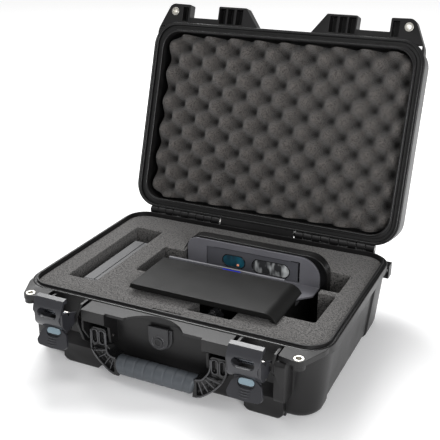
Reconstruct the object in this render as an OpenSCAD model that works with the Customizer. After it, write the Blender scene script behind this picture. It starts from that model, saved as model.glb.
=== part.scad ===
// Hard carrying case, open, with cut foam that holds a 3-D camera and its power adapter.
// Origin: middle of the base's underside. +X along the front, +Y towards the hinge, +Z up.

/* [Case] */
// Inside width of the base
inside_w = 420; // [410:1:424]
// Inside depth of the base
inside_d = 286; // [280:1:290]
// Height of the base, from the underside to the rim
base_h = 100; // [98:1:112]
// Wall thickness of the two shells
wall = 4; // [3:0.5:5]
// Radius of the inside corners
inside_r = 28; // [22:1:32]
// How far the rim's flange stands out from the wall
flange = 4; // [3:0.5:5]
// Height of the closed lid above the rim
lid_h = 54; // [52:1:60]
// Angle that the lid stands open at
lid_open = 107.8; // [90:0.1:110]

/* [Latches] */
// Distance from the middle of the case to the middle of each latch
latch_x = 136; // [135:0.5:137]
// Width of each claw
claw_w = 43; // [40:0.5:44]
// Outside radius of the claw's curve
claw_r = 28.5; // [27:0.5:30]

/* [Handle] */
// Distance between the two handle pins
handle_span = 175; // [174:1:176]
// Length of the soft grip
grip_l = 108; // [100:1:112]

/* [Foam] */
// Thickness of foam left under the pockets
foam_floor = 18; // [12:1:18]
// Height of the lid foam, from its back to its peaks
lid_foam_t = 40; // [30:1:44]

/* [Camera] */
// Width of the camera
cam_w = 211; // [205:1:214]
// Distance from the middle of the case to the middle of the camera
cam_x = 38.5; // [36:0.5:41]
// Thickness of the cover plate
plate_t = 8; // [6:0.5:9]

/* [Adapter] */
// Width of the power adapter
adapter_w = 25; // [22:1:27]
// Length of the power adapter
adapter_l = 146; // [130:1:150]

/* [Hidden] */
$fn = 48;
fit = 0.05;          // radial running clearance of a pin
gap = 0.4;           // space between pieces that move apart
eps = 0.5;           // overlap of blocks that fuse into one moulding

wall_w = inside_w + 2 * wall;
wall_d = inside_d + 2 * wall;
rim_w = wall_w + 2 * flange;
rim_d = wall_d + 2 * flange;
wall_r = inside_r + wall;
rim_r = wall_r + flange;
front_y = -wall_d / 2;
rear_y = wall_d / 2;
rim_z = base_h;

hinge_y = rear_y + 9;
hinge_z = rim_z + 4.5;
hinge_pin_r = 2.5;
knuckle_r = 6;
knuckle_w = 14;
knuckle_n = 9;
hinge_x0 = 64;

eyelet_x = 190;
eyelet_y = -168.5;
eyelet_r = 3.5;
bush_r = 6.5;
tab_t = 7;
base_edge_r = 9;
side_draft = 8;
shoulder_z = rim_z - 11;
low_in_w = inside_w - 23;   // the base is narrower inside, below its shoulder

lid_z0 = rim_z + 0.6;
lid_top = rim_z + lid_h;
lid_wall_w = wall_w + 6;
lid_wall_d = wall_d + 3;
lid_in_w = lid_wall_w - 2 * wall;
lid_in_d = lid_wall_d - 2 * wall;
lid_rim_h = 13;
lid_mouth_w = inside_w - 12;
lid_mouth_d = inside_d - 13;
lid_flange_w = rim_w + 6;
groove_in = -1.5;      // seal groove, measured out from the inside wall
groove_out = 4;
groove_h = 8;
seal_t = 4;
lid_ceiling = lid_top - wall;

pivot_y = -172;
pivot_z = rim_z - 16;
latch_pin_r = 2.5;
ear_in = latch_x - claw_w / 2 - 5.5;
ear_out = latch_x + claw_w / 2 + 1.5;
ear_t = 4;
claw_cy = -178;
claw_cz = rim_z - 4;
claw_t = 4.5;
roller_y = -189;
roller_z = rim_z - 6;
roller_rod_r = 2;
lever_py = -186.5;
lever_pz = rim_z - 27.5;
lever_pin_r = 1.5;
lever_tilt = 24;
lever_l = 25;

arm_x = handle_span / 2;
handle_py = -159.3;
handle_pz = rim_z - 40.3;
handle_pin_r = 2.5;
grip_y = -166.5;
grip_z = rim_z - 75.5;
grip_r = 12.7;
core_r = 6;
bay_x = 69;
block_x = 104;
block_y = -178;

foam_gap = 0.5;
foam_top = rim_z - 3;
foam_z0 = wall + 0.3;
pocket_z = foam_z0 + foam_floor;

cam_top = rim_z + 25;
cam_bottom = pocket_z + 0.3;
plate_z = rim_z + 10;
plate_y0 = -105;
plate_y1 = -13;
tray_y = plate_y1 + 0.4;
light_x0 = -19;
light_w = 27;
face_y = 51;
ledge_z = rim_z - 20;
body_w = 180;
hood_more = 8;
deck_z = plate_z - plate_t;
tripod_r = 4.76;
knob_x = cam_x + 8;
knob_z = rim_z - 16;
knob_y = -88;

adapter_x = -149;
adapter_y0 = -92;
adapter_top = rim_z - 8;
adapter_bottom = adapter_top - 56;

// ---------- outlines and helpers ----------

module rounded(w, d, r) {
  offset(r = r) square([w - 2 * r, d - 2 * r], center = true);
}

module plate(w, d, r, z0, z1) {
  translate([0, 0, z0]) linear_extrude(z1 - z0) rounded(w, d, r);
}

module block(x0, x1, y0, y1, z0, z1) {
  translate([x0, y0, z0]) cube([x1 - x0, y1 - y0, z1 - z0]);
}

module rod_x(x0, x1, y, z, r) {
  translate([x0, y, z]) rotate([0, 90, 0]) cylinder(h = x1 - x0, r = r);
}

module rod_y(y0, y1, x, z, r) {
  translate([x, y1, z]) rotate([90, 0, 0]) cylinder(h = y1 - y0, r = r);
}

module tube_z(x, y, z0, z1, r, bore) {
  translate([x, y, z0]) difference() {
    cylinder(h = z1 - z0, r = r);
    translate([0, 0, -1]) cylinder(h = z1 - z0 + 2, r = bore);
  }
}

// extrudes an outline drawn in Y and Z along X
module profile_x(x0, x1) {
  translate([x0, 0, 0]) rotate([90, 0, 90]) linear_extrude(x1 - x0) children();
}

// extrudes an outline drawn in X and Z from y1 towards the front
module profile_y(y0, y1) {
  translate([0, y1, 0]) rotate([90, 0, 0]) linear_extrude(y1 - y0) children();
}

module pill(w, h) {
  translate([-(w - h) / 2, 0]) circle(d = h);
  translate([(w - h) / 2, 0]) circle(d = h);
  square([w - h, h], center = true);
}

function arc(cx, cy, r, a0, a1, n) = [for (i = [0:n]) let (a = a0 + (a1 - a0) * i / n) [cx + r * cos(a), cy + r * sin(a)]];

module both_sides() {
  children();
  mirror([1, 0, 0]) children();
}

// carries lid pieces, drawn closed, to the open rest position
module opened() {
  translate([0, hinge_y, hinge_z]) rotate([-lid_open, 0, 0]) translate([0, -hinge_y, -hinge_z]) children();
}

// ---------- base ----------

module hinge_knuckles(first) {
  for (i = [first:2:knuckle_n - 1]) {
    x0 = hinge_x0 + i * knuckle_w + gap;
    x1 = hinge_x0 + (i + 1) * knuckle_w - gap;
    rod_x(x0, x1, hinge_y, hinge_z, knuckle_r);
  }
}

module hinge_relief(first) {
  for (i = [first:2:knuckle_n - 1]) {
    x0 = hinge_x0 + i * knuckle_w - gap;
    x1 = hinge_x0 + (i + 1) * knuckle_w + gap;
    rod_x(x0, x1, hinge_y, hinge_z, knuckle_r + 1.4);
  }
}

module base_hinge_arms() {
  for (i = [0:2:knuckle_n - 1]) {
    x0 = hinge_x0 + i * knuckle_w + gap;
    x1 = hinge_x0 + (i + 1) * knuckle_w - gap;
    profile_x(x0, x1) polygon([
      [rear_y - eps, rim_z - 16], [rear_y + 2, rim_z - 16], [hinge_y + 4, rim_z - 3], [hinge_y + 4, hinge_z],
      [hinge_y - 4, hinge_z], [hinge_y - 5, rim_z - 1], [rear_y - eps, rim_z - 1]
    ]);
  }
}

module corner_tab_outline() {
  hull() {
    translate([eyelet_x, eyelet_y]) circle(9);
    translate([168, -171]) circle(2);
    translate([168, front_y]) circle(2);
    translate([wall_w / 2 - 24, front_y + 14]) circle(24);
  }
}

// outside of the base, with draft on its ends and a rounded lower edge
module base_body() {
  hull() {
    plate(wall_w, wall_d, wall_r, rim_z - 14, rim_z - 1);
    for (a = [0, 30, 60, 90]) {
      inset = base_edge_r * (1 - cos(a));
      z = base_edge_r * (1 - sin(a));
      plate(wall_w - 2 * (side_draft + inset), wall_d - 2 * inset, wall_r - inset - 1.5, z, z + 0.05);
    }
  }
}

// the ends of the base are drawn in between the corners
module end_recess() {
  intersection() {
    profile_y(-120, 90) polygon([
      [low_in_w / 2 + 12.5, rim_z - 15], [250, rim_z - 15], [250, -1], [low_in_w / 2 - 3, -1], [low_in_w / 2 + 1, 1.5],
      [low_in_w / 2 + 3.5, 4.5], [low_in_w / 2 + 5.2, 9]
    ]);
    translate([0, 0, -2]) linear_extrude(base_h) polygon([[190, -96], [240, -116], [240, 90], [190, 70]]);
  }
}

// the pieces moulded on the front of the base, right-hand side
module base_front_right() {
  // corner tab and the boss around the eyelet
  translate([0, 0, rim_z - tab_t]) linear_extrude(tab_t) corner_tab_outline();
  translate([eyelet_x, eyelet_y, rim_z - 13]) cylinder(h = 10, r = 8.2);
  // upright bar beside the latch
  profile_x(ear_out + ear_t - eps, ear_out + ear_t + 13) polygon([
    [front_y + eps, rim_z - 9], [-172, rim_z - 9], [-176, rim_z - 14], [-176, 43], [-173.5, 37], [-168, 34],
    [front_y + eps, 34]
  ]);
  // ears that carry the latch pin
  profile_x(ear_out, ear_out + ear_t) latch_ear_outline();
  profile_x(ear_in, ear_in + ear_t) polygon([
    [front_y + eps, rim_z - 1], [-166, rim_z - 1], [-179, rim_z - 14], [-179, rim_z - 20], [-166, 46], [-160, 41],
    [front_y + eps, 38]
  ]);
  // block that carries the handle arm: two cheeks under a deck
  block(bay_x, block_x, block_y, front_y + eps, rim_z - 17, rim_z - 1);
  profile_x(bay_x, bay_x + 4) polygon([
    [front_y + eps, rim_z - 1], [block_y, rim_z - 1], [block_y, rim_z - 17], [-166, rim_z - 26], [-164, rim_z - 49],
    [front_y + eps, rim_z - 54]
  ]);
  profile_x(block_x - 3, block_x) polygon([
    [front_y + eps, rim_z - 1], [block_y, rim_z - 1], [block_y, rim_z - 30], [-166, rim_z - 49],
    [front_y + eps, rim_z - 60]
  ]);
}

// foot below a latch
module foot(x0, x1) {
  difference() {
    profile_x(x0, x1) polygon([
      [front_y + 14, 0], [-156, 0], [-158, 3], [-158, 29], [front_y + eps, 43], [front_y + 2, 20]
    ]);
    translate([x0, -160, 0]) rotate([0, -45, 0]) cube([10, 24, 12], center = true);
    translate([x1, -160, 0]) rotate([0, 45, 0]) cube([10, 24, 12], center = true);
  }
}

module latch_ear_outline() {
  polygon([[front_y + eps, rim_z - 3], [-168, rim_z - 3], [-179, rim_z - 14], [-179, rim_z - 20], [-170, rim_z - 32],
    [front_y + eps, rim_z - 44]]);
}

// arched lip over the handle bay
module bay_lip() {
  translate([0, 0, rim_z - 5]) linear_extrude(4) difference() {
    polygon([[-bay_x - eps, front_y + eps], [-bay_x - eps, -174], [bay_x + eps, -174], [bay_x + eps, front_y + eps]]);
    polygon(concat([[-bay_x + 2, -180]], arc(0, -204, 52, 152, 28, 16), [[bay_x - 2, -180]]));
  }
}

module base_shell() {
  color("#1d1e20") difference() {
    union() {
      base_body();
      intersection() {
        plate(rim_w, rim_d, rim_r, rim_z - 11, rim_z);
        block(-rim_w, rim_w, -rim_d, rear_y + 0.01, rim_z - 12, rim_z + 1);
      }
      plate(inside_w + 5, inside_d + 5, inside_r + 2.5, rim_z - 2, rim_z + 3.5);
      both_sides() {
        base_front_right();
        base_hinge_arms();
        hinge_knuckles(0);
        // strap lug at the rear corner
        block(wall_w / 2 - 4, wall_w / 2 + 6, 124, 140, rim_z - 24, rim_z - 4);
      }
      foot(117, 169);
      // ledge behind the rim, between the two hinges
      block(-62, 62, rear_y - eps, rear_y + 17, rim_z - 15, rim_z - 5);
      foot(-151, -91);
      bay_lip();
    }
    plate(inside_w, inside_d, inside_r, shoulder_z, rim_z + 5);
    plate(low_in_w, inside_d, inside_r - 4, wall, rim_z);
    both_sides() {
      end_recess();
      hinge_relief(1);
      rod_x(hinge_x0 - 5, hinge_x0 + knuckle_n * knuckle_w + 5, hinge_y, hinge_z, hinge_pin_r);
      translate([eyelet_x, eyelet_y, rim_z - 30]) cylinder(h = 40, r = bush_r);
      rod_x(ear_in - 1, ear_out + ear_t + 1, pivot_y, pivot_z, latch_pin_r);
      rod_x(bay_x - 1, block_x + 1, handle_py, handle_pz, handle_pin_r);
      // strap slot
      block(wall_w / 2 + 1.5, wall_w / 2 + 4, 120, 146, rim_z - 20, rim_z - 9);
    }
    rod_y(front_y - 2, front_y + wall + 2, -5, rim_z - 35, 6);
  }
}

module eyelet_bush(z0, z1) {
  tube_z(eyelet_x, eyelet_y, z0, z1, bush_r, eyelet_r);
}

module base_eyelets() {
  color("#c9c6bb") both_sides() eyelet_bush(rim_z - 13, rim_z + 0.1);
}

module hinge_pin() {
  rod_x(hinge_x0 + gap, hinge_x0 + knuckle_n * knuckle_w - gap, hinge_y, hinge_z, hinge_pin_r);
}

module hinge_pin_left() {
  color("#b9bbbe") mirror([1, 0, 0]) hinge_pin();
}

module hinge_pin_right() {
  color("#b9bbbe") hinge_pin();
}

module handle_pins() {
  color("#8d9094") both_sides() rod_x(bay_x + 1, block_x, handle_py, handle_pz, handle_pin_r);
}

module latch_pin() {
  rod_x(ear_in, ear_out + ear_t, pivot_y, pivot_z, latch_pin_r);
}

module latch_pin_left() {
  color("#8d9094") mirror([1, 0, 0]) latch_pin();
}

module latch_pin_right() {
  color("#8d9094") latch_pin();
}

// ---------- pressure valve in the front wall ----------

module shield_outline(w, h) {
  polygon(concat([[-w / 2, h / 2], [-w / 2, h / 2 - (h - w / 2)]], arc(0, -h / 2 + w / 2, w / 2, 180, 360, 20),
    [[w / 2, h / 2]]));
}

module valve_body() {
  color("#232427") translate([-5, 0, rim_z - 34]) {
    translate([0, 0, 1]) profile_y(front_y - 6, front_y - 2) shield_outline(29, 32);
    translate([2.5, 0, 0]) profile_y(front_y - 2.5, front_y) shield_outline(32, 30);
    rod_y(front_y - eps, front_y + 12, 0, -1, 6);
  }
}

module valve_cap() {
  color("#2c2d31") translate([-5, 0, rim_z - 35]) difference() {
    rod_y(front_y - 7.2, front_y - 6, 0, -3, 6.5);
    rod_y(front_y - 8, front_y - 5, 0, -3, 4.2);
  }
}

module valve_membrane() {
  color("#d9d9d4") translate([-5, 0, rim_z - 35]) rod_y(front_y - 6.5, front_y - 6, 0, -3, 4.2);
}

module valve_nut() {
  color("#33343a") translate([-5, 0, rim_z - 35]) difference() {
    translate([0, front_y + wall + 5, 0]) rotate([90, 0, 0]) cylinder(h = 5, r = 10, $fn = 6);
    rod_y(front_y, front_y + wall + 9, 0, 0, 6);
  }
}

// ---------- foam ----------

module camera_pocket_outline() {
  x0 = cam_x - cam_w / 2;
  polygon([
    [-103, -42], [x0 - gap * 2, -42], [x0 - gap * 2, -78], [17, -78], [17, -116], [80, -116], [80, -78], [178, -78],
    [180, 0], [155, 0], [155, 12], [180, 12], [180, 68], [-70, 68], [-70, 43], [-103, 43]
  ]);
}

module adapter_pocket_outline() {
  polygon([[-180, -97], [-134, -97], [-134, 91], [-180, 91]]);
}

module base_foam() {
  color("#3b3a3a") difference() {
    union() {
      plate(inside_w - 2 * foam_gap, inside_d - 2 * foam_gap, inside_r - foam_gap, shoulder_z + foam_gap, foam_top);
      plate(low_in_w - 2 * foam_gap, inside_d - 2 * foam_gap, inside_r - 4 - foam_gap, foam_z0, foam_top);
    }
    translate([0, 0, pocket_z]) linear_extrude(base_h) offset(r = 3) offset(delta = -3) camera_pocket_outline();
    translate([0, 0, adapter_bottom - 0.3]) linear_extrude(base_h) offset(r = 3) offset(delta = -3)
      adapter_pocket_outline();
    // room for the valve's nut, and the finger notch above it
    block(-24, 18, -inside_d, -131, rim_z - 50, rim_z);
  }
}

module lid_foam() {
  color("#4a4745") opened() plate(lid_mouth_w - 4, lid_mouth_d - 4, 24, lid_ceiling - lid_foam_t, lid_ceiling - 0.3);
}

// ---------- lid ----------

module lid_tab_inner() {
  polygon([[44, -151], [66, -180], [112, -180], [113, -178], [113, -140], [44, -140]]);
}

module lid_tab_corner() {
  difference() {
    hull() {
      translate([eyelet_x, eyelet_y]) circle(12);
      translate([165, -178]) circle(2);
      translate([165, front_y]) circle(2);
      translate([lid_wall_w / 2 - 24, front_y + 14]) circle(24);
    }
    square([lid_in_w, lid_in_d], center = true);
  }
}

module lid_hinge_arms() {
  for (i = [1:2:knuckle_n - 1]) {
    x0 = hinge_x0 + i * knuckle_w + gap;
    x1 = hinge_x0 + (i + 1) * knuckle_w - gap;
    profile_x(x0, x1) polygon([
      [rear_y - 2, rim_z + 0.6], [hinge_y - 4, rim_z + 0.6], [hinge_y, hinge_z], [hinge_y + 4, hinge_z + 3],
      [rear_y + 2, rim_z + 20], [rear_y - 2, rim_z + 20]
    ]);
  }
}

module grown(by) {
  rounded(inside_w + 2 * by, inside_d + 2 * by, inside_r + by);
}

module groove_outline() {
  difference() {
    grown(groove_out);
    grown(groove_in);
  }
}

module lid_shell() {
  color("#1b1c1e") opened() difference() {
    union() {
      plate(lid_wall_w, lid_wall_d, wall_r + 2, lid_z0, lid_top);
      intersection() {
        plate(lid_flange_w, rim_d, rim_r + 2, lid_z0, lid_z0 + lid_rim_h);
        block(-lid_flange_w, lid_flange_w, -rim_d, lid_wall_d / 2 - 0.01, lid_z0 - 1, lid_z0 + 20);
      }
      both_sides() {
        translate([0, 0, lid_z0]) linear_extrude(17) lid_tab_corner();
        translate([0, 0, lid_z0]) linear_extrude(20) lid_tab_inner();
        lid_hinge_arms();
        hinge_knuckles(1);
        // ledge that the claw hooks over
        block(112, 166, -160, -140, lid_z0 + 2, lid_z0 + 13);
      }
      // skirt between the two hinges
      block(-62, 62, lid_wall_d / 2 - 1, hinge_y + 4, lid_z0, lid_z0 + 8);
      // raised ribs across the top
      for (x = [-150, -50, 50, 150]) block(x - 26, x + 26, -112, 112, lid_top - eps, lid_top + 2);
    }
    // inside of the lid, and the narrower mouth at the rim
    plate(lid_in_w, lid_in_d, wall_r - 2, lid_z0 + lid_rim_h, lid_ceiling);
    plate(lid_mouth_w, lid_mouth_d, inside_r, lid_z0 - 1, lid_z0 + lid_rim_h + 1);
    // groove for the seal and the base's tongue
    translate([0, 0, lid_z0 - 1]) linear_extrude(groove_h + 1) groove_outline();
    both_sides() {
      hinge_relief(0);
      rod_x(hinge_x0 - 5, hinge_x0 + knuckle_n * knuckle_w + 5, hinge_y, hinge_z, hinge_pin_r + fit);
      translate([eyelet_x, eyelet_y, lid_z0 - 2]) cylinder(h = 40, r = bush_r);
      // hollows in the tabs
      for (x = [70, 85, 99]) block(x + 1, x + 12, -177, -153, lid_z0 - 1, lid_z0 + 16);
      block(166, 176, -176, -153, lid_z0 - 1, lid_z0 + 13);
    }
  }
}

module lid_seal() {
  color("#101113") opened() translate([0, 0, lid_z0 + groove_h - seal_t]) linear_extrude(seal_t) groove_outline();
}

module lid_eyelets() {
  color("#c9c6bb") opened() both_sides() eyelet_bush(lid_z0, lid_z0 + 17.3);
}

// ---------- latches ----------

module claw() {
  x0 = latch_x - claw_w / 2;
  x1 = latch_x + claw_w / 2;
  difference() {
    union() {
      // curved front plate
      profile_x(x0, x1) polygon(concat(arc(claw_cy, claw_cz, claw_r, 132, 235, 18),
        arc(claw_cy, claw_cz, claw_r - claw_t, 235, 132, 18)));
      // hook along the top
      profile_x(x0, x1) polygon([[-198.5, rim_z + 17], [-191, rim_z + 18], [-190, rim_z + 12], [-193.5, rim_z + 11.5],
        [-195, rim_z + 13.5], [-197, rim_z + 12]]);
      // cheeks that reach back to the pin
      for (x = [x0, x1 - 4]) {
        profile_x(x, x + 4) polygon(concat(arc(claw_cy, claw_cz, claw_r - 1, 168, 246, 12),
          [[-185, rim_z - 27], [-172, rim_z - 21.5], [-167.5, rim_z - 18], [-167.5, rim_z - 13], [-172, rim_z - 10.5],
          [-190, rim_z - 3]]));
      }
    }
    // window, waist and arched lower edge
    profile_y(-215, -196) translate([latch_x, rim_z - 1]) pill(29, 13);
    for (side = [-1, 1]) {
      profile_y(-215, -203.5) translate([latch_x + side * (claw_w / 2 + 6.5), rim_z - 9]) scale([1, 1.2]) circle(10);
    }
    profile_y(-215, -192) translate([latch_x - 1, rim_z - 29]) scale([1.5, 1]) circle(11);
    rod_x(x0 - 1, x1 + 1, pivot_y, pivot_z, latch_pin_r + fit);
    rod_x(x0 - 1, x1 + 1, lever_py, lever_pz, lever_pin_r);
    rod_x(x0 - 1, x1 + 1, roller_y, roller_z, roller_rod_r);
  }
}

module roller() {
  rod_x(latch_x - claw_w / 2 + 0.2, latch_x + claw_w / 2 - 0.2, roller_y, roller_z, roller_rod_r);
  rod_x(latch_x - 13, latch_x + 13, roller_y, roller_z, 4);
}

module lever_pin() {
  rod_x(latch_x - claw_w / 2, latch_x + claw_w / 2, lever_py, lever_pz, lever_pin_r);
}

// the lever is drawn hanging straight down from its pin, then tilted outwards
module tilted_lever() {
  translate([latch_x, lever_py, lever_pz]) rotate([-lever_tilt, 0, 0]) children();
}

module lever() {
  half = claw_w / 2 - 4.6;
  pad = claw_w / 2 + 1.5;
  tilted_lever() difference() {
    union() {
      rod_x(-half, half, 0, 0, 3);
      block(-half, half, -3, 1, -7, 0);
      profile_y(-5.5, -1) polygon(concat([[-11, -3.5], [11, -3.5], [pad - 4, -9]], arc(pad - 7, -lever_l + 3, 7, 0, -75, 6),
        [[0, -lever_l - 5]], arc(7 - pad, -lever_l + 3, 7, 255, 180, 6), [[4 - pad, -9]]));
    }
    rod_x(-half - 1, half + 1, 0, 0, lever_pin_r + fit);
    // pocket for the lock slider
    profile_y(-6, -2.5) translate([0, -8.85]) pill(22.6, 11.1);
  }
  // curved finger ribs
  tilted_lever() for (i = [0:3]) {
    profile_y(-6.2, -5) difference() {
      translate([0, 1 - i * 3.2]) circle(18);
      translate([0, 2.2 - i * 3.2]) circle(18);
      translate([-30, -15.2 - i * 3.2]) square([60, 60]);
    }
  }
}

module lock() {
  tilted_lever() profile_y(-6.6, -2.6) translate([0, -7.3]) pill(20, 7.4);
}

module claw_left() {
  color("#2f3034") mirror([1, 0, 0]) claw();
}

module claw_right() {
  color("#2f3034") claw();
}

module roller_left() {
  color("#8e9298") mirror([1, 0, 0]) roller();
}

module roller_right() {
  color("#8e9298") roller();
}

module lever_pin_left() {
  color("#8d9094") mirror([1, 0, 0]) lever_pin();
}

module lever_pin_right() {
  color("#8d9094") lever_pin();
}

module lever_left() {
  color("#303136") mirror([1, 0, 0]) lever();
}

module lever_right() {
  color("#303136") lever();
}

module lock_left() {
  color("#9fb4bf") mirror([1, 0, 0]) lock();
}

module lock_right() {
  color("#9fb4bf") lock();
}

// ---------- handle ----------

// the arm is an S-shaped channel, open to the front, with ribs across it
module arm_outline() {
  polygon([
    [75, rim_z - 52], [75, rim_z - 33], [78, rim_z - 29.5], [95, rim_z - 29.5], [99, rim_z - 33], [99, rim_z - 44],
    [97.5, rim_z - 53], [93, rim_z - 62], [86, rim_z - 70], [76, rim_z - 79], [67, rim_z - 86], [60, rim_z - 89.5],
    [grip_l / 2, rim_z - 90], [grip_l / 2 + 2, rim_z - 64], [64, rim_z - 63], [70, rim_z - 58]
  ]);
}

module handle_arm() {
  difference() {
    union() {
      intersection() {
        profile_y(-166.3, -153.3) arm_outline();
        block(50, 110, -170, -150, rim_z - 64, rim_z - 31);
      }
      profile_y(-166.3, -160.5) arm_outline();
      intersection() {
        profile_y(-174, -160) arm_outline();
        block(50, 110, -180, -150, 0, rim_z - 58);
      }
    }
    rod_x(70, 105, handle_py, handle_pz, handle_pin_r + fit);
    // channel between the two rails
    profile_y(-175, -168.5) polygon([
      [88, rim_z - 55], [93.5, rim_z - 57], [90, rim_z - 63], [83, rim_z - 70.5], [74, rim_z - 78.5], [66, rim_z - 84],
      [60, rim_z - 86], [60, rim_z - 67], [66, rim_z - 65], [73, rim_z - 59.5], [76.5, rim_z - 55]
    ]);
    // loops beside the pin
    profile_y(-168, -162.3) translate([81.5, rim_z - 43]) rotate([0, 0, 90]) pill(19, 7);
    profile_y(-168, -162.3) translate([92.5, rim_z - 43]) rotate([0, 0, 90]) pill(19, 7);
  }
  // ribs across the channel
  intersection() {
    profile_y(-172.5, -168) arm_outline();
    for (i = [0:3]) {
      translate([84 - i * 7, 0, rim_z - 61 - i * 6]) rotate([0, 45, 0]) cube([2, 340, 40], center = true);
    }
    block(50, 110, -180, -150, 0, rim_z - 58);
  }
}

module handle_frame() {
  color("#232428") union() {
    both_sides() handle_arm();
    rod_x(-grip_l / 2 - 2, grip_l / 2 + 2, grip_y, grip_z, core_r);
  }
}

module handle_grip() {
  color("#5c646c") difference() {
    rod_x(-grip_l / 2 + 0.2, grip_l / 2 - 0.2, grip_y, grip_z, grip_r);
    rod_x(-grip_l, grip_l, grip_y, grip_z, core_r);
  }
}

// ---------- camera ----------

module cam() {
  translate([cam_x, 0, 0]) children();
}

module lower_profile() {
  polygon([[-60, cam_bottom + 2], [face_y, cam_bottom + 2], [face_y, ledge_z - 3], [plate_y1, ledge_z - 3],
    [plate_y1, deck_z], [-60, deck_z]]);
}

module lower_housing() {
  color("#151518") cam() difference() {
    profile_x(-body_w / 2, body_w / 2) lower_profile();
    profile_x(3 - body_w / 2, body_w / 2 - 3) polygon([
      [-57, cam_bottom + 5], [face_y + 1, cam_bottom + 5], [face_y + 1, ledge_z - 6], [plate_y1 - 3, ledge_z - 6],
      [plate_y1 - 3, deck_z - 3], [-57, deck_z - 3]
    ]);
    translate([8, 0, 0]) rod_y(-61, -56, 0, knob_z, 3);
    translate([0, -6, cam_bottom]) cylinder(h = 10, r = 8);
    for (x = [-80, 80], y = [-45, 30]) translate([x, y, cam_bottom]) cylinder(h = 10, r = 1.6);
  }
}

// the hood stands out further on the right
module rear_outline(inset) {
  w = cam_w / 2 - inset;
  wr = w + hood_more;
  top = cam_top - inset;
  polygon(concat([[-w, cam_bottom + 2 + inset], [wr, cam_bottom + 2 + inset], [wr, rim_z - 6]],
    arc(wr - 28, top - 28, 28, 0, 90, 10), arc(24 - w, top - 24, 24, 90, 180, 10)));
}

module rear_housing() {
  color("#17171a") cam() difference() {
    profile_y(face_y - 4, 64) rear_outline(0);
    profile_y(face_y + 0.2, 61) rear_outline(3);
    profile_y(face_y - 5, face_y + 0.3) offset(delta = 0.3) bezel_outline();
    block(-body_w / 2 - 0.3, body_w / 2 + 0.3, face_y - 5, face_y + 0.3, 0, ledge_z + 1);
    profile_y(face_y - 5, face_y + 0.3) translate([-cam_w / 2 + 1.7, ledge_z - 3.1]) square([cam_w - 3.4, 10]);
    translate([-60, 0, 0]) rod_y(60, 66, 0, rim_z - 20, 6.3);
    // hole for the connectors
    block(30, 72, 60, 66, rim_z - 40, rim_z - 24);
  }
}

module bezel_outline() {
  w = cam_w / 2 - 2;
  polygon(concat([[-w, ledge_z], [w, ledge_z]], arc(w - 30, rim_z + 22 - 30, 30, 0, 90, 10),
    arc(16 - w, rim_z + 22 - 16, 16, 90, 180, 8)));
}

module panel_outline(grow) {
  translate([-72 - grow, ledge_z + 1.5 - grow]) square([142 + 2 * grow, 29.5 + 2 * grow]);
}

module front_bezel() {
  color("#55565c") cam() {
    difference() {
      profile_y(face_y - 6, face_y) bezel_outline();
      profile_y(face_y - 8, face_y + 1) union() {
        panel_outline(0.5);
        translate([60, ledge_z + 1]) square([13.5, 32.5]);
        translate([-60, ledge_z + 20]) square([133.5, 12.5]);
      }
    }
    // tray between the cover plate and the face, with a raised lip along its front
    translate([0, 0, ledge_z - 2.8]) linear_extrude(2.8) polygon([
      [2 - cam_w / 2, tray_y], [72, tray_y], [cam_w / 2 - 2, 20], [cam_w / 2 - 2, face_y], [2 - cam_w / 2, face_y]
    ]);
    difference() {
      block(-cam_w / 2 + 2, 72, tray_y, tray_y + 3.5, ledge_z - 1, plate_z + 2);
      block(light_x0 - 0.1, light_x0 + light_w + 0.1, tray_y - 1, tray_y + 1.6, plate_z - 0.2, plate_z + 1.7);
    }
  }
}

module window_place(x) {
  translate([x, 0, rim_z - 6]) children();
}

module sensor_panel() {
  color("#48494f") cam() difference() {
    profile_y(face_y - 4, face_y) panel_outline(0);
    window_place(-29) profile_y(face_y - 6, face_y + 1) pill(35, 18);
    window_place(29) profile_y(face_y - 6, face_y + 1) pill(57, 20);
  }
}

module projector_window() {
  color("#0f6b80") cam() window_place(-29) profile_y(face_y - 3.2, face_y - 1.7) pill(34.8, 17.8);
}

module camera_window() {
  color("#aab0b4") cam() window_place(29) profile_y(face_y - 3.2, face_y - 1.7) pill(56.8, 19.8);
}

module lens_barrels() {
  color("#0c0c0e") cam() for (x = [-38, -22, 8, 48]) window_place(x) difference() {
    rod_y(face_y - 1.2, face_y + 4, 0, 0, 6);
    rod_y(face_y - 2, face_y + 3, 0, 0, 4.6);
  }
}

module lens_glass() {
  color("#30424f") cam() for (x = [-38, -22, 8, 48]) window_place(x) rod_y(face_y + 0.5, face_y + 2.5, 0, 0, 4.6);
}

module sensor_bracket() {
  color("#9a9da2") cam() block(-70, 70, face_y + 4, face_y + 5.5, rim_z - 16, rim_z + 6);
}

module sensor_board() {
  color("#1f5a3a") cam() block(-68, 68, face_y + 5.5, face_y + 7.1, rim_z - 15, rim_z + 5);
}

module main_board() {
  color("#1f5a3a") cam() {
    block(-80, 80, -48, 38, cam_bottom + 34, cam_bottom + 35.6);
    block(-20, 10, -20, 10, cam_bottom + 35.6, cam_bottom + 38);
    block(30, 50, -10, 10, cam_bottom + 35.6, cam_bottom + 37.5);
  }
}

module battery_pack() {
  color("#3a3b6a") cam() block(-78, 78, -46, 36, cam_bottom + 13, cam_bottom + 31);
}

// flat plate whose right end curls down
module cover_plate() {
  w = cam_w / 2;
  right = w - 5;
  curl_r = 20;
  color("#1a1a1c") cam() profile_y(plate_y0, plate_y1) polygon(concat(
    [[-w - 9, deck_z + 1], [-w - 6, plate_z]], arc(right - curl_r, plate_z - curl_r, curl_r, 90, 24, 12),
    [[body_w / 2 + 2.6, deck_z - 3.4], [body_w / 2 + 0.6, deck_z], [-w + 4, deck_z]]
  ));
}

module status_light() {
  color("#1430d8") cam() block(light_x0, light_x0 + light_w, tray_y + 0.1, tray_y + 1.5, plate_z - 0.1, plate_z + 1.6);
}

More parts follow.
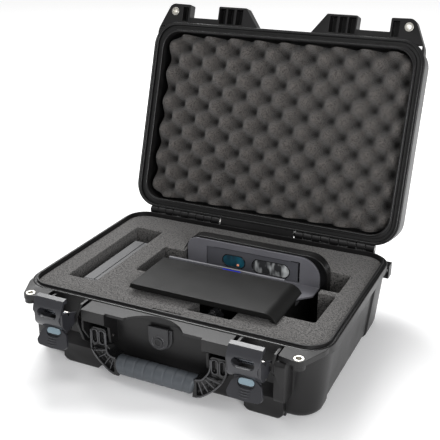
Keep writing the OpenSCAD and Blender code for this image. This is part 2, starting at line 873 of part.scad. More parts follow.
module port_cover() {
  color("#222226") cam() block(30.2, 71.8, 61.2, 64.4, rim_z - 39.8, rim_z - 24.2);
}

module tripod_insert() {
  color("#b58e4a") cam() translate([0, -6, cam_bottom]) difference() {
    union() {
      cylinder(h = 12, r = 8);
      translate([0, 0, 5]) cylinder(h = 2, r = 11);
    }
    translate([0, 0, -1]) cylinder(h = 11, r = tripod_r);
  }
}

module clamp_block() {
  color("#2b2c30") translate([knob_x, 0, knob_z]) difference() {
    block(-16, 16, -78, -60.2, -12, 12);
    rod_y(-80, -59, 0, 0, 3);
  }
}

module clamp_screw() {
  color("#a9acb0") translate([knob_x, 0, knob_z]) rod_y(-99, -61, 0, 0, 3 - fit);
}

module clamp_knob() {
  color("#1b1b1e") translate([knob_x, 0, knob_z]) difference() {
    union() {
      rod_y(-103, knob_y, 0, 0, 8);
      for (a = [0:90:270]) rotate([0, a, 0]) translate([0, 0, 7]) rod_y(-101, knob_y, 0, 0, 4.2);
    }
    rod_y(-99, knob_y + 1, 0, 0, 3 - fit);
  }
}

module power_button() {
  color("#303238") cam() translate([-60, 0, 0]) {
    rod_y(61.3, 65.5, 0, rim_z - 20, 6);
  }
}

module housing_screws() {
  color("#7d8085") cam() for (x = [-80, 80], y = [-45, 30]) translate([x, y, 0]) {
    translate([0, 0, cam_bottom + 0.4]) cylinder(h = 1.6, r = 3);
    translate([0, 0, cam_bottom + 2]) cylinder(h = 6, r = 1.6);
  }
}

module rubber_feet() {
  color("#0e0e0f") cam() for (x = [-66, 66], y = [-45, 30]) translate([x, y, cam_bottom]) cylinder(h = 2, r = 6);
}

// ---------- power adapter ----------

module adapter_span(y0, y1, z0, z1, inset) {
  block(adapter_x - adapter_w / 2 + inset, adapter_x + adapter_w / 2 - inset, y0, y1, z0, z1);
}

module adapter_shell() {
  y1 = adapter_y0 + adapter_l;
  color("#85868a") difference() {
    adapter_span(adapter_y0 + 6, y1, adapter_bottom + 12, adapter_top, 0);
    adapter_span(adapter_y0 + 5, y1 - 2.5, adapter_bottom + 10, adapter_top - 2.5, 2.5);
    // parting groove along the top
    block(adapter_x + 3.5, adapter_x + 4.3, adapter_y0, y1 + 1, adapter_top - 1, adapter_top + 1);
  }
}

module adapter_base() {
  y1 = adapter_y0 + adapter_l;
  color("#6f7074") difference() {
    adapter_span(adapter_y0 + 6, y1, adapter_bottom, adapter_bottom + 12, 0);
    adapter_span(adapter_y0 + 5, y1 - 2.5, adapter_bottom + 2.5, adapter_bottom + 13, 2.5);
  }
}

module adapter_board() {
  color("#1f5a3a") adapter_span(adapter_y0 + 8, adapter_y0 + adapter_l - 4, adapter_bottom + 6, adapter_bottom + 7.6, 3);
}

module adapter_inlet() {
  color("#141416") difference() {
    adapter_span(adapter_y0, adapter_y0 + 6, adapter_bottom, adapter_top, 0);
    block(adapter_x - 6, adapter_x + 6, adapter_y0 - 1, adapter_y0 + 4, adapter_bottom + 20, adapter_bottom + 32);
  }
}

// ---------- nodes ----------

base_shell();
base_foam();
hinge_pin_left();
hinge_pin_right();
base_eyelets();
handle_pins();
latch_pin_left();
latch_pin_right();
valve_body();
valve_cap();
valve_membrane();
valve_nut();
lid_shell();
lid_seal();
lid_foam();
lid_eyelets();
claw_left();
claw_right();
roller_left();
roller_right();
lever_pin_left();
lever_pin_right();
lever_left();
lever_right();
lock_left();
lock_right();
handle_frame();
handle_grip();
lower_housing();
rear_housing();
front_bezel();
sensor_panel();
projector_window();
camera_window();
lens_barrels();
lens_glass();
sensor_bracket();
sensor_board();
main_board();
battery_pack();
cover_plate();
status_light();
port_cover();
tripod_insert();
clamp_block();
clamp_screw();
clamp_knob();
power_button();
housing_screws();
rubber_feet();
adapter_shell();
adapter_base();
adapter_board();
adapter_inlet();
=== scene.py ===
"""Finish and fine detail of an open carrying case with a 3-D camera and its power adapter.

Lengths in this file are in millimetres and are turned into metres where meshes are made.
"""

import math

import bmesh
import bpy
from mathutils import Matrix, Vector


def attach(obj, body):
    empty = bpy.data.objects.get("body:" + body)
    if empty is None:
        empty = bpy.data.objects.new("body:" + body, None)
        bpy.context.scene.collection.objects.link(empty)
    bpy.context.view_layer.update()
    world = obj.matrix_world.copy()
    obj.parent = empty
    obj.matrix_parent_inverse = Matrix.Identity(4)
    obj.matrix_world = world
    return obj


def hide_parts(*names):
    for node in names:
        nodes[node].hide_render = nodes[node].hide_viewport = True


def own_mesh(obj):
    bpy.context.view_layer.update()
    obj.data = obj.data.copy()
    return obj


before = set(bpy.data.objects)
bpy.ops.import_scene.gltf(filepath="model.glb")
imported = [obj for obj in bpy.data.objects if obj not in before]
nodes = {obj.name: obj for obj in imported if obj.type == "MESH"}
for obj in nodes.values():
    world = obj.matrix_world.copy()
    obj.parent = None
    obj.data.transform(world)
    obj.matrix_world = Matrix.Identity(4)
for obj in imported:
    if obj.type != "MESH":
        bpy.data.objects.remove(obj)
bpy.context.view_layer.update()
MM = 0.001
WELD = 1e-6  # metres within which two corners of a CAD mesh are one
FLAT = math.cos(math.radians(0.6))  # faces that turn less than this lie in one plane
CUT_ASIDE = 1.3e-5  # metres from the middle of a hole to the cut through it


# ---------- finishes ----------


class Value:
    """An output of a finish's nodes. Arithmetic on it adds Math nodes."""

    def __init__(self, finish, socket):
        self.finish = finish
        self.socket = socket

    def _math(self, operation, *values):
        return self.finish.add("ShaderNodeMath", {"operation": operation}, *values)

    def __add__(self, other):
        return self._math("ADD", self, other)

    def __radd__(self, other):
        return self._math("ADD", other, self)

    def __sub__(self, other):
        return self._math("SUBTRACT", self, other)

    def __rsub__(self, other):
        return self._math("SUBTRACT", other, self)

    def __mul__(self, other):
        return self._math("MULTIPLY", self, other)

    def __rmul__(self, other):
        return self._math("MULTIPLY", other, self)


class Finish:
    """A Principled material whose fixed numbers sit on its own sockets."""

    def __init__(self, name, colour, roughness, **fixed):
        self.material = bpy.data.materials.new(name)
        self.material.use_nodes = True
        self.tree = self.material.node_tree
        self.shader = self.tree.nodes["Principled BSDF"]
        self.shader.inputs["Base Color"].default_value = (*colour, 1)
        self.shader.inputs["Roughness"].default_value = roughness
        self.material.diffuse_color = (*colour, 1)
        for socket, value in fixed.items():
            self.shader.inputs[socket.replace("_", " ")].default_value = value
        self.colour = colour
        self.place = self.add("ShaderNodeTexCoord", {}, out="Object")

    def add(self, kind, settings, *values, out=0, **named):
        """One node: its settings are set first, then the values or links of its sockets."""
        made = self.tree.nodes.new(kind)
        for key, value in settings.items():
            setattr(made, key, value)
        for key, value in [*enumerate(values), *named.items()]:
            socket = made.inputs[key.replace("_", " ") if isinstance(key, str) else key]
            if isinstance(value, Value):
                self.tree.links.new(value.socket, socket)
            elif value is not None:
                socket.default_value = value
        return Value(self, made.outputs[out])

    def feed(self, socket, value):
        self.tree.links.new(value.socket, self.shader.inputs[socket])

    def noise(self, scale, detail=2.0, roughness=0.5, stretch=None):
        place = self.place
        if stretch:
            place = self.add("ShaderNodeMapping", {}, place, Scale=stretch)
        return self.add(
            "ShaderNodeTexNoise", {}, Vector=place, Scale=scale, Detail=detail, Roughness=roughness)

    def cells(self, scale):
        return self.add("ShaderNodeTexVoronoi", {}, Vector=self.place, Scale=scale)

    def band(self, value, low, high, from_=0.0, to=1.0):
        return self.add("ShaderNodeMapRange", {"clamp": True}, value, low, high, from_, to)

    def mix(self, factor, dark, light):
        """A colour between two colours, or links to colours."""
        made = self.tree.nodes.new("ShaderNodeMix")
        made.data_type = "RGBA"
        for index, value in ((0, factor), (6, dark), (7, light)):
            if isinstance(value, Value):
                self.tree.links.new(value.socket, made.inputs[index])
            elif index:
                made.inputs[index].default_value = (*value, 1)
            else:
                made.inputs[index].default_value = value
        return Value(self, made.outputs[2])

    def bump(self, height, distance):
        return self.add("ShaderNodeBump", {}, Strength=1.0, Distance=distance, Height=height)

    def grain(self, scale, depth, shade_by=0.1, rough_by=0.06):
        """Fine moulding grain in colour, gloss and height."""
        fine = self.noise(scale, 3.0)
        broad = self.noise(scale / 60, 3.0)
        dark = [c * (1 - shade_by) for c in self.colour]
        light = [c * (1 + shade_by) for c in self.colour]
        self.feed("Base Color", self.mix(self.band(broad, 0.3, 0.7), dark, light))
        rough = self.shader.inputs["Roughness"].default_value
        mixed = fine * 0.5 + broad * 0.5
        self.feed("Roughness", self.band(mixed, 0.35, 0.65, rough - rough_by, rough + rough_by))
        self.feed("Normal", self.bump(fine, depth))
        return self


def foam_finish(name, colour, cell, depth, dark, light, painted_hollow_shade=None):
    """Open-cell foam: a speckle of cells over a soft tone. The last argument, if given, is a direction
    and the places along it, in metres, where painted shade in the hollows starts and is darkest."""
    made = Finish(name, colour, 0.95, Specular_IOR_Level=0.12, Sheen_Weight=0.25, Sheen_Roughness=0.6)
    coarse = made.noise(cell, 2.0, 0.6)
    pores = made.cells(cell * 1.7)
    broad = made.noise(9.0, 2.0)
    speckle = made.band(coarse * 0.7 + pores * 0.5, 0.44, 0.68)
    tone = made.mix(speckle, [c * light for c in colour], [c * dark for c in colour])
    warm = made.mix(made.band(broad, 0.35, 0.65), tone, made.mix(0.12, tone, [c * 1.6 for c in colour]))
    if painted_hollow_shade:
        # painted shade: the colour darkens towards near-black the deeper a hollow lies along the direction
        depth_in = made.add("ShaderNodeVectorMath", {"operation": "DOT_PRODUCT"}, made.place, painted_hollow_shade[0], out=1)
        warm = made.mix(made.band(depth_in, painted_hollow_shade[1], painted_hollow_shade[2], 0.0, 0.75), warm, (0.004, 0.004, 0.004))
    made.feed("Base Color", warm)
    made.feed("Normal", made.bump(speckle, depth))
    return made


shell_black = Finish("textured_black_shell", (0.0075, 0.0072, 0.0075), 0.4, Specular_IOR_Level=0.38)
shell_black.grain(1500, 0.00003, 0.2, 0.05)
gloss_black = Finish("smooth_black_lip", (0.005, 0.005, 0.0052), 0.2).grain(900, 0.00001, 0.2, 0.04)
part_grey = Finish("dark_grey_nylon", (0.026, 0.0265, 0.031), 0.33).grain(1100, 0.00003, 0.12, 0.05)
arm_black = Finish("black_nylon", (0.006, 0.006, 0.0065), 0.26).grain(1100, 0.00003, 0.12, 0.05)
grip_grey = Finish("soft_grey_grip", (0.062, 0.07, 0.08), 0.5).grain(1300, 0.00005, 0.08, 0.05)
seal_black = Finish("black_rubber", (0.006, 0.006, 0.006), 0.6).grain(900, 0.00004)
steel = Finish("bright_steel", (0.62, 0.6, 0.57), 0.28, Metallic=1.0).grain(700, 0.00001, 0.06, 0.08)
dark_steel = Finish("dark_steel", (0.16, 0.17, 0.19), 0.25, Metallic=1.0).grain(700, 0.00001, 0.06, 0.08)
# a grey ten times lighter than the black nylon, for the handle's rails, ribs and loops and the valve emblem:
# painted highlight on them
painted_highlight_grey = Finish("rail_edge_painted_highlight", (0.06, 0.06, 0.064), 0.3).grain(900, 0.00001, 0.2, 0.05)
eyelet_white = Finish("nickel_eyelet", (0.72, 0.70, 0.64), 0.3, Metallic=1.0).grain(500, 0.00001, 0.05, 0.08)
hood_black = Finish("satin_black_hood", (0.004, 0.004, 0.0042), 0.3).grain(1800, 0.00002, 0.1, 0.04)
plate_black = Finish("satin_black_plate", (0.008, 0.008, 0.0078), 0.36, Specular_IOR_Level=0.16)
plate_black.grain(2200, 0.00003, 0.08, 0.04)
bezel_grey = Finish("mid_grey_bezel", (0.14, 0.139, 0.155), 0.42).grain(2000, 0.00002, 0.05, 0.04)
panel_grey = Finish("grey_window_panel", (0.085, 0.086, 0.097), 0.32).grain(2000, 0.00001, 0.05, 0.04)
knob_black = Finish("black_knob", (0.02, 0.02, 0.022), 0.22).grain(1500, 0.00003)
adapter_grey = Finish("light_grey_casing", (0.06, 0.061, 0.064), 0.42).grain(1700, 0.00003, 0.06, 0.05)
adapter_dark = Finish("dark_end_cap", (0.02, 0.02, 0.022), 0.4).grain(1700, 0.00003)
lock_blue = Finish("pale_blue_slider", (0.22, 0.30, 0.35), 0.42).grain(1500, 0.00002)
valve_grey = Finish("valve_plastic", (0.02, 0.02, 0.022), 0.4).grain(1500, 0.00002)
membrane_dark = Finish("microporous_film", (0.012, 0.012, 0.013), 0.6).grain(3000, 0.00002)
brass = Finish("brass", (0.62, 0.42, 0.16), 0.3, Metallic=1.0).grain(800, 0.00001)
board_green = Finish("green_laminate", (0.01, 0.09, 0.04), 0.4).grain(400, 0.00002, 0.4)
cell_wrap = Finish("shrink_wrap", (0.03, 0.03, 0.09), 0.3).grain(300, 0.00003)
bracket_alloy = Finish("plain_alloy", (0.6, 0.61, 0.63), 0.35, Metallic=1.0).grain(500, 0.00001)
barrel_black = Finish("black_anodised", (0.012, 0.012, 0.013), 0.35, Metallic=0.6).grain(1200, 0.00001)
light_blue = Finish("blue_light_pipe", (0.004, 0.01, 0.4), 0.35, Emission_Strength=0.55).grain(600, 0.00001)
light_blue.shader.inputs["Emission Color"].default_value = (0.01, 0.03, 0.6, 1)

LID_UP = (0, 0.952, -0.3057)  # from the mouth of the open lid to its back
base_foam_finish = foam_finish(
    "charcoal_foam", (0.045, 0.043, 0.0415), cell=330.0, depth=0.0006, dark=2.7, light=0.22)
# the egg-crate's hollows carry painted shade, darker the deeper they lie along LID_UP
lid_foam_finish = foam_finish(
    "egg_crate_foam", (0.06, 0.0545, 0.051), cell=330.0, depth=0.0005, dark=1.9, light=0.5,
    painted_hollow_shade=(LID_UP, 0.124, 0.146))


def glass(name, dark, light, roughness, scale, low, high, **fixed):
    """A window with what lies behind it as soft dark and light patches."""
    made = Finish(name, light, roughness, **fixed)
    behind = made.noise(scale, 2.0, 0.6, stretch=(1.0, 1.0, 0.45))
    made.feed("Base Color", made.mix(made.band(behind, low, high), dark, light))
    return made


teal_glass = glass(
    "teal_coated_window", (0.002, 0.035, 0.055), (0.004, 0.12, 0.18),
    roughness=0.08, scale=55.0, low=0.35, high=0.6, Coat_Weight=0.5)
clear_glass = glass(
    "clear_window", (0.03, 0.031, 0.032), (0.62, 0.64, 0.64),
    roughness=0.08, scale=75.0, low=0.42, high=0.6, Coat_Weight=0.4)
lens_glass = glass(
    "coated_lens", (0.02, 0.03, 0.05), (0.04, 0.07, 0.09),
    roughness=0.05, scale=100.0, low=0.3, high=0.7)
# an orange spot that glows in the projector window: a painted glow
spot_painted_glow = Finish("projector_painted_glow", (0.5, 0.2, 0.12), 0.3, Emission_Strength=0.5).grain(600, 0.00001)
spot_painted_glow.shader.inputs["Emission Color"].default_value = (0.8, 0.3, 0.16, 1)


# ---------- making pieces ----------


def new_piece(name, mesh, body, finish, stands_for=(), smooth=40):
    """A mesh as an object that rides on a body and, if it names any, stands for CAD nodes."""
    made = bpy.data.objects.new(name, mesh)
    bpy.context.scene.collection.objects.link(made)
    mesh.materials.clear()
    mesh.materials.append(finish.material)
    mesh.shade_smooth()
    if smooth:
        mesh.set_sharp_from_angle(angle=math.radians(smooth))
    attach(made, body)
    if stands_for:
        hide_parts(*stands_for)
    return made


def rounded_edges(made, width, steps=2, angle=35):
    bevel = made.modifiers.new("rounded_edges", "BEVEL")
    bevel.width = width * MM
    bevel.segments = steps
    bevel.limit_method = "ANGLE"
    bevel.angle_limit = math.radians(angle)
    bevel.use_clamp_overlap = False
    bevel.harden_normals = True
    bevel.miter_outer = "MITER_ARC"
    return made


def flat_regions(bm):
    """Groups of touching faces that lie in one plane and have no seam between them."""
    done = set()
    regions = []
    for first in bm.faces:
        if first in done:
            continue
        done.add(first)
        region, waiting = [first], [first]
        while waiting:
            for edge in waiting.pop().edges:
                if edge.seam:
                    continue
                for face in edge.link_faces:
                    if face not in done and face.normal.dot(first.normal) > FLAT:
                        done.add(face)
                        region.append(face)
                        waiting.append(face)
        if len(region) > 1:
            regions.append(region)
    return regions


def outline_loops(region):
    """The closed lines of corners that bound a region, or None where two of them touch."""
    inside = set(region)
    steps = {}
    for face in region:
        for edge in face.edges:
            if sum(other in inside for other in edge.link_faces) == 1:
                a, b = edge.verts
                steps.setdefault(a, []).append(b)
                steps.setdefault(b, []).append(a)
    if any(len(ends) != 2 for ends in steps.values()):
        return None
    loops = []
    left = dict.fromkeys(steps)
    while left:
        at = next(iter(left))
        del left[at]
        loop = [at]
        while True:
            onward = [v for v in steps[at] if v in left]
            if not onward:
                break
            at = onward[0]
            del left[at]
            loop.append(at)
        loops.append(loop)
    return loops


def spread(points, axis):
    values = [p.co[axis] for p in points]
    return max(values) - min(values)


def join_flat_faces(bm):
    """Turns the triangles of each flat face into one face, cut through wherever it has a hole."""
    for _ in range(3):
        holed = False
        for region in flat_regions(bm):
            region = [face for face in region if face.is_valid]
            loops = outline_loops(region)
            if not loops or len(loops) == 1:
                continue
            holed = True
            normal = region[0].normal
            axis = min(range(3), key=lambda k: abs(normal[k]) - 1e-3 * k)
            across = Vector([1.0 if k == axis else 0.0 for k in range(3)])
            loops.sort(key=lambda loop: -sum(spread(loop, k) for k in range(3)))
            middles = [sum(v.co[axis] for v in loop) / len(loop) for loop in loops[1:]]
            places = sorted({round(middle, 4) for middle in middles})
            for place in places:
                region = [face for face in region if face.is_valid]
                parts = list(dict.fromkeys([v for f in region for v in f.verts]))
                parts += list(dict.fromkeys([e for f in region for e in f.edges]))
                cut = bmesh.ops.bisect_plane(
                    bm, geom=parts + region, dist=1e-7, plane_co=across * (place + CUT_ASIDE), plane_no=across)
                for piece in cut["geom_cut"]:
                    if isinstance(piece, bmesh.types.BMEdge):
                        piece.seam = True
                region = [f for f in cut["geom"] if isinstance(f, bmesh.types.BMFace)]
        if not holed:
            break
    for region in flat_regions(bm):
        loops = outline_loops(region)
        if loops and len(loops) == 1:
            bmesh.ops.dissolve_faces(bm, faces=region, use_verts=False)


def cad_mesh(node, name):
    """A copy of a CAD node's mesh with its corners joined and its flat faces whole."""
    bm = bmesh.new()
    bm.from_mesh(nodes[node].data)
    bmesh.ops.remove_doubles(bm, verts=bm.verts, dist=WELD)
    bm.normal_update()
    join_flat_faces(bm)
    mesh = bpy.data.meshes.new(name)
    bm.to_mesh(mesh)
    bm.free()
    return mesh


def moulded(node, name, body, finish, edge=0.6, steps=2, angle=35):
    """A CAD node as a moulding: the same shape with rounded edges."""
    made = new_piece(name, cad_mesh(node, name), body, finish, [node])
    if edge:
        rounded_edges(made, edge, steps, angle)
    return made


def finished(node, finish):
    """A CAD node that shows as it is, in its finish."""
    data = nodes[node].data
    data.materials.clear()
    data.materials.append(finish.material)


def rounded_path(width, depth, radius, step=4.0):
    """Points and outward directions round a rounded rectangle, anticlockwise from above."""
    path = []
    for cx, cy, start in ((1, 1, 0), (-1, 1, 90), (-1, -1, 180), (1, -1, 270)):
        centre = Vector((cx * (width / 2 - radius), cy * (depth / 2 - radius)))
        count = max(6, int(radius * math.pi / 2 / step))
        for i in range(count + 1):
            turn = math.radians(start + 90 * i / count)
            out = Vector((math.cos(turn), math.sin(turn)))
            path.append((centre + out * radius, out))
    return path


def bead(name, width, depth, radius, z, thick, high, body, finish, place=None):
    """A rounded ridge that runs all the way round a rim."""
    bm = bmesh.new()
    rings = []
    around = 12
    for point, out in rounded_path(width, depth, radius):
        ring = []
        for k in range(around):
            turn = 2 * math.pi * k / around
            flat = point + out * math.cos(turn) * thick
            ring.append(bm.verts.new(Vector((flat.x, flat.y, z + math.sin(turn) * high)) * MM))
        rings.append(ring)
    for a, ring in enumerate(rings):
        following = rings[(a + 1) % len(rings)]
        for k in range(around):
            m = (k + 1) % around
            bm.faces.new((ring[k], following[k], following[m], ring[m]))
    bmesh.ops.recalc_face_normals(bm, faces=bm.faces)
    if place:
        bm.transform(place)
    mesh = bpy.data.meshes.new(name)
    bm.to_mesh(mesh)
    bm.free()
    return new_piece(name, mesh, body, finish, smooth=0)


def smooth_path(points, closed=False, per=6):
    """More points on a smooth curve through the given ones."""
    count = len(points)
    found = []
    for i in range(count if closed else count - 1):
        near = range(i - 1, i + 3)
        p = [Vector(points[k % count] if closed else points[min(max(k, 0), count - 1)]) for k in near]
        for step in range(per):
            t = step / per
            a = p[1] * 2 + (p[2] - p[0]) * t
            b = (p[0] * 2 - p[1] * 5 + p[2] * 4 - p[3]) * t * t
            c = (p[1] * 3 - p[0] - p[2] * 3 + p[3]) * t ** 3
            found.append((a + b + c) / 2)
    if not closed:
        found.append(Vector(points[-1]))
    return found


def tube(name, points, radius, body, finish, closed=False, flip=False, around=10, per=6):
    """A thin round rail along a smooth curve."""
    bm = bmesh.new()
    path = smooth_path(points, closed, per)
    count = len(path)
    rings = []
    for i, at in enumerate(path):
        before = path[i - 1] if i or closed else at
        after = path[(i + 1) % count] if i < count - 1 or closed else at
        along = (after - before).normalized()
        side = along.cross(Vector((0, -1, 0.02))).normalized()
        up = side.cross(along)
        ring = []
        for k in range(around):
            turn = 2 * math.pi * k / around
            place = (at + (side * math.cos(turn) + up * math.sin(turn)) * radius) * MM
            if flip:
                place.x = -place.x
            ring.append(bm.verts.new(place))
        rings.append(ring)
    for i in range(count if closed else count - 1):
        here, following = rings[i], rings[(i + 1) % count]
        for k in range(around):
            m = (k + 1) % around
            bm.faces.new((here[k], following[k], following[m], here[m]))
    if not closed:
        bm.faces.new(rings[0])
        bm.faces.new(rings[-1])
    bmesh.ops.recalc_face_normals(bm, faces=bm.faces)
    mesh = bpy.data.meshes.new(name)
    bm.to_mesh(mesh)
    bm.free()
    return new_piece(name, mesh, body, finish, smooth=0)


def pill_points(x, y, z, width, height, count=28):
    """Points round an upright pill outline that faces the front."""
    points = []
    radius = min(width, height) / 2
    for i in range(count):
        turn = 2 * math.pi * i / count
        out_x = math.copysign(max(0.0, width / 2 - radius), math.cos(turn))
        out_z = math.copysign(max(0.0, height / 2 - radius), math.sin(turn))
        points.append((x + out_x + radius * math.cos(turn), y, z + out_z + radius * math.sin(turn)))
    return points


HINGE = Vector((0, 156, 104.5)) * MM
LID_OPEN = math.radians(107.8)
opened = Matrix.Translation(HINGE) @ Matrix.Rotation(-LID_OPEN, 4, "X") @ Matrix.Translation(-HINGE)


# ---------- base ----------

moulded("base_shell", "base_moulding", "case", shell_black, 0.5)
base_foam = moulded("base_foam", "cut_foam", "case", base_foam_finish, 1.2, 3)
for node in ("hinge_pin_left", "hinge_pin_right", "handle_pins", "latch_pin_left", "latch_pin_right"):
    finished(node, steel)
moulded("base_eyelets", "base_eyelet_rings", "case", eyelet_white, 0.5)
moulded("valve_body", "valve_shield", "case", valve_grey, 0.5)
moulded("valve_cap", "valve_ring", "case", valve_grey, 0.4)
finished("valve_membrane", membrane_dark)
moulded("valve_nut", "valve_hex_nut", "case", valve_grey, 0.4)
VALVE_X, VALVE_FACE_Y, VALVE_Z, EMBLEM_R = -5, -153.1, 62, 9
# the valve's emblem arcs, in the lighter grey of painted highlight
for third in range(3):
    arc = []
    for step in range(6):
        turn = math.radians(20 + third * 120 + step * 16)
        arc.append((VALVE_X + EMBLEM_R * math.cos(turn), VALVE_FACE_Y, VALVE_Z + EMBLEM_R * math.sin(turn)))
    tube(f"valve_emblem_{third}", arc, 0.7, "case", painted_highlight_grey)

bead("base_rim_ridge", width=433, depth=299, radius=34.5, z=99.9, thick=1.1, high=0.5,
     body="case", finish=gloss_black)

# ---------- lid ----------

bead("lid_inner_ridge", width=411.5, depth=276.5, radius=29.5, z=100.7, thick=1.2, high=0.6,
     body="lid", finish=gloss_black, place=opened)
bead("lid_outer_ridge", width=432, depth=297.5, radius=34, z=100.7, thick=1.1, high=0.6,
     body="lid", finish=gloss_black, place=opened)
bead("lid_edge_ridge", width=438.5, depth=299.5, radius=35.5, z=101.0, thick=1.2, high=0.8,
     body="lid", finish=gloss_black, place=opened)
moulded("lid_shell", "lid_moulding", "lid", shell_black, 0.6)
LIP_HALF, LIP_Y, LIP_Z = 62, 152.4, 100.6  # between the two groups of hinge knuckles
tube("lid_rear_lip", [(-LIP_HALF, LIP_Y, LIP_Z), (LIP_HALF, LIP_Y, LIP_Z)], 1.1, "lid", seal_black)
moulded("lid_seal", "lid_gasket", "lid", seal_black, 0.8)
moulded("lid_eyelets", "lid_eyelet_rings", "lid", eyelet_white, 0.5)
LID_FOAM_BACK = 149.7  # the lid's ceiling when it is shut


def egg_crate():
    """The pad in the closed lid: flat against the lid, with staggered peaks towards the base."""
    half_w, half_d, corner = 201.0, 133.5, 24.0
    back, peak, depth = LID_FOAM_BACK, 110.0, 27.0
    pitch_x, pitch_y = 43.0, 46.0
    cols, rows, layers = 168, 112, 6
    bm = bmesh.new()

    def half_width(y):
        into = max(0.0, abs(y) - (half_d - corner))
        return half_w - corner + math.sqrt(max(0.0, corner * corner - into * into))

    def height(x, y):
        wave = math.cos(2 * math.pi * x / pitch_x) * math.cos(2 * math.pi * y / pitch_y)
        share = ((1 - wave) / 2) ** 1.25
        return peak + depth * share

    front = []
    for j in range(rows + 1):
        y = -half_d + 2 * half_d * j / rows
        row = []
        for i in range(cols + 1):
            x = half_width(y) * (2 * i / cols - 1)
            row.append(bm.verts.new(Vector((x, y, height(x, y))) * MM))
        front.append(row)
    for j in range(rows):
        for i in range(cols):
            bm.faces.new((front[j][i], front[j + 1][i], front[j + 1][i + 1], front[j][i + 1]))
    rim = front[0][:] + [front[j][cols] for j in range(1, rows + 1)]
    rim += front[rows][-2::-1] + [front[j][0] for j in range(rows - 1, 0, -1)]
    last = rim
    for layer in range(1, layers + 1):
        share = layer / layers
        ring = []
        for v in rim:
            z = v.co.z + (back * MM - v.co.z) * share
            ring.append(bm.verts.new((v.co.x, v.co.y, z)))
        for a in range(len(rim)):
            b = (a + 1) % len(rim)
            bm.faces.new((last[a], last[b], ring[b], ring[a]))
        last = ring
    bm.faces.new(last)
    bmesh.ops.recalc_face_normals(bm, faces=bm.faces)
    bm.transform(opened)
    mesh = bpy.data.meshes.new("egg_crate_foam")
    bm.to_mesh(mesh)
    bm.free()
    return mesh


lid_foam = new_piece(
    "egg_crate_foam", egg_crate(), "lid", lid_foam_finish, ["lid_foam"], smooth=50)
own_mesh(lid_foam)

# ---------- latches ----------

for side in ("left", "right"):
    moulded(f"claw_{side}", f"latch_claw_{side}", f"latch_{side}", part_grey, 0.3, 2, 30)
    moulded(f"roller_{side}", f"latch_roller_{side}", f"latch_{side}", dark_steel, 0.4)
    finished(f"lever_pin_{side}", steel)
    moulded(f"lever_{side}", f"latch_lever_{side}", f"lever_{side}", part_grey, 0.2)
    moulded(f"lock_{side}", f"latch_slider_{side}", f"lock_{side}", lock_blue, 0.7)

# ---------- handle ----------

moulded("handle_frame", "handle_arms", "handle", arm_black, 0.4, 2)


def grip():
    """The soft sleeve of the handle, with raised bands and slanted, rounded ends."""
    axis_y, axis_z, radius, half = -166.5, 24.5, 12.9, 56.5
    bands, rings, around = 8, 176, 48
    bm = bmesh.new()
    last = None
    for i in range(rings + 1):
        share = 2 * i / rings - 1
        x = half * share
        into_end = max(0.0, abs(x) - (half - 5)) / 5
        size = radius * math.sqrt(max(0.0, 1 - 0.72 * into_end ** 2.4))
        band = (x / half + 1) / 2 * bands
        groove = math.exp(-(((band - round(band)) * 2 * half / bands) / 1.1) ** 2)
        if 0.3 < band < bands - 0.3:
            size -= 0.75 * groove
        ring = []
        for k in range(around):
            turn = 2 * math.pi * k / around
            dy, dz = size * math.cos(turn), size * 1.02 * math.sin(turn)
            slant = 0.24 * dz * max(0.0, abs(share) * 2 - 1) * math.copysign(1, share)
            ring.append(bm.verts.new(Vector((x + slant, axis_y + dy, axis_z + dz)) * MM))
        if last:
            for k in range(around):
                m = (k + 1) % around
                bm.faces.new((last[k], last[m], ring[m], ring[k]))
        else:
            bm.faces.new(ring)
        last = ring
    bm.faces.new(last)
    bmesh.ops.recalc_face_normals(bm, faces=bm.faces)
    mesh = bpy.data.meshes.new("handle_soft_grip")
    bm.to_mesh(mesh)
    bm.free()
    return new_piece("handle_soft_grip", mesh, "handle", grip_grey, ["handle_grip"])


grip()
# the handle's right arm: its two edges, and the ribs in the channel between them, in a lighter grey that is
# painted highlight
OUTER_RAIL = [(98.4, -166.8, 66), (98.4, -166.8, 57), (97.2, -168.5, 49), (93.5, -173, 40.5),
              (86.3, -174.2, 31), (76.6, -174.2, 21.8), (67.4, -174.2, 14.8), (60, -174, 11.4)]
INNER_RAIL = [(75.7, -166.8, 66), (75.7, -166.8, 56), (74.6, -168.5, 49), (70.8, -173, 42.5),
              (65.4, -174.2, 38), (58, -174, 36.4)]
ARM_RIBS = [((72, 43.5), (92.5, 39)), ((69.5, 41), (85, 29.5)), ((65, 37.5), (76, 21.5)),
            ((60.5, 36.5), (68, 15.5))]
RIB_Y = -172.4
for side in ("left", "right"):
    mirrored = side == "left"
    tube(f"handle_outer_rail_{side}", OUTER_RAIL, 1.05, "handle", painted_highlight_grey, flip=mirrored)
    tube(f"handle_inner_rail_{side}", INNER_RAIL, 1.05, "handle", painted_highlight_grey, flip=mirrored)
    for number, ribs in enumerate(ARM_RIBS):
        ends = [(x, RIB_Y, z) for x, z in ribs]
        tube(f"handle_rib_{side}_{number}", ends, 0.75, "handle", painted_highlight_grey, flip=mirrored)
    for number, x in enumerate((81.5, 92.5)):
        loop = pill_points(x, -166.6, 57, 8.4, 20.4)
        tube(f"handle_loop_{side}_{number}", loop, 0.85, "handle", painted_highlight_grey,
             closed=True, flip=mirrored, per=2)

# ---------- camera ----------

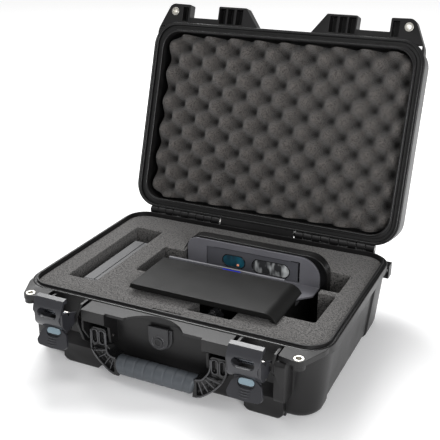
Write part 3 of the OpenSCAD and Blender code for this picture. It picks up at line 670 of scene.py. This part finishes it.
moulded("lower_housing", "camera_lower_case", "camera", hood_black, 0.7, 3)
moulded("rear_housing", "camera_rear_hood", "camera", hood_black, 0.8, 3)
moulded("front_bezel", "camera_grey_face", "camera", bezel_grey, 0.45, 3)
moulded("sensor_panel", "camera_window_panel", "camera", panel_grey, 0.5)
finished("projector_window", teal_glass)
finished("camera_window", clear_glass)
CAM_X, FACE_Y, WINDOW_Z = 38.5, 51.0, 94.0
for name, aside, width, height in (("projector_window_ring", -29, 36, 19), ("camera_window_ring", 29, 58, 21)):
    outline = pill_points(CAM_X + aside, FACE_Y - 4, WINDOW_Z, width, height)
    tube(name, outline, 0.7, "camera", gloss_black, closed=True, per=2)
# a glowing orange spot behind the projector window: painted glow
spot = [(CAM_X - 24, FACE_Y - 3.3, 89), (CAM_X - 21, FACE_Y - 3.3, 88.6)]
tube("projector_spot", spot, 1.5, "camera", spot_painted_glow)
finished("lens_barrels", barrel_black)
finished("lens_glass", lens_glass)
finished("sensor_bracket", bracket_alloy)
finished("sensor_board", board_green)
finished("main_board", board_green)
finished("battery_pack", cell_wrap)
moulded("cover_plate", "camera_cover_plate", "camera", plate_black, 1.0, 3)
finished("status_light", light_blue)
moulded("port_cover", "camera_port_cover", "camera", seal_black, 0.6)
finished("tripod_insert", brass)
moulded("clamp_block", "clamp_stub", "camera", barrel_black, 0.8)
finished("clamp_screw", steel)
moulded("clamp_knob", "clamp_lobed_knob", "clamp", knob_black, 1.0, 3)
moulded("power_button", "camera_power_button", "button", panel_grey, 0.4)
finished("housing_screws", steel)
moulded("rubber_feet", "camera_feet", "camera", seal_black, 0.5)

# ---------- adapter ----------

moulded("adapter_shell", "adapter_top_case", "adapter", adapter_grey, 0.8, 3)
moulded("adapter_base", "adapter_bottom_case", "adapter", adapter_grey, 0.8, 3)
finished("adapter_board", board_green)
moulded("adapter_inlet", "adapter_end_cap", "adapter", adapter_dark, 1.0, 3)


# ---------- stage ----------


def floor():
    """White paper with a painted glow, stronger away from the case and to its right, so the floor is darker
    round the case.
    """
    mesh = bpy.data.meshes.new("floor")
    bm = bmesh.new()
    bmesh.ops.create_grid(bm, x_segments=1, y_segments=1, size=20)
    bm.to_mesh(mesh)
    bm.free()
    made = bpy.data.objects.new("floor", mesh)
    bpy.context.scene.collection.objects.link(made)
    paper = Finish("white_paper_painted_glow", (0.9, 0.9, 0.9), 0.9, Emission_Strength=1.0)
    far = paper.add("ShaderNodeVectorMath", {"operation": "LENGTH"}, paper.place, out=1)
    along = paper.add("ShaderNodeSeparateXYZ", {}, paper.place)
    reach = far + along * 0.8
    # painted glow: lowest round the case, highest far off and to the right
    painted_glow = paper.mix(paper.band(reach, 0.35, 1.1), (0.13, 0.13, 0.135), (0.55, 0.55, 0.55))
    paper.feed("Emission Color", painted_glow)
    made.data.materials.append(paper.material)


def lamp(name, place, aim, size, power):
    data = bpy.data.lights.new(name, "AREA")
    data.shape = "RECTANGLE"
    data.size, data.size_y = size
    data.energy = power
    made = bpy.data.objects.new(name, data)
    made.location = place
    made.rotation_euler = (Vector(aim) - Vector(place)).to_track_quat("-Z", "Y").to_euler()
    bpy.context.scene.collection.objects.link(made)


floor()
scene = bpy.context.scene
world = bpy.data.worlds.new("studio")
scene.world = world
world.use_nodes = True
world_nodes = world.node_tree.nodes
backdrop = world_nodes["Background"]
backdrop.inputs["Color"].default_value = (1, 1, 1, 1)
seen = world_nodes.new("ShaderNodeLightPath")
level = world_nodes.new("ShaderNodeMapRange")
level.inputs["To Min"].default_value = 0.42
level.inputs["To Max"].default_value = 1.0
world.node_tree.links.new(seen.outputs["Is Camera Ray"], level.inputs["Value"])
world.node_tree.links.new(level.outputs["Result"], backdrop.inputs["Strength"])
scene.view_settings.view_transform = "Standard"
lamp("key_from_behind", (-0.9, 1.2, 1.9), (-0.1, -0.1, 0.05), (1.3, 1.0), 56)
lamp("overhead", (-0.5, -0.3, 2.2), (-0.2, 0, 0), (1.4, 1.0), 10)
lamp("front_right", (1.3, -1.5, 0.7), (0.1, -0.1, 0.1), (0.7, 0.9), 20)

camera_data = bpy.data.cameras.new("camera")
camera_data.lens = 65.9
camera_data.sensor_width = 36
camera = bpy.data.objects.new("camera", camera_data)
camera.location = (0.4494, -0.9238, 0.5976)
aim = Vector((0.0096, 0, 0.1769))
camera.rotation_euler = (aim - camera.location).to_track_quat("-Z", "Y").to_euler()
scene.collection.objects.link(camera)
scene.camera = camera
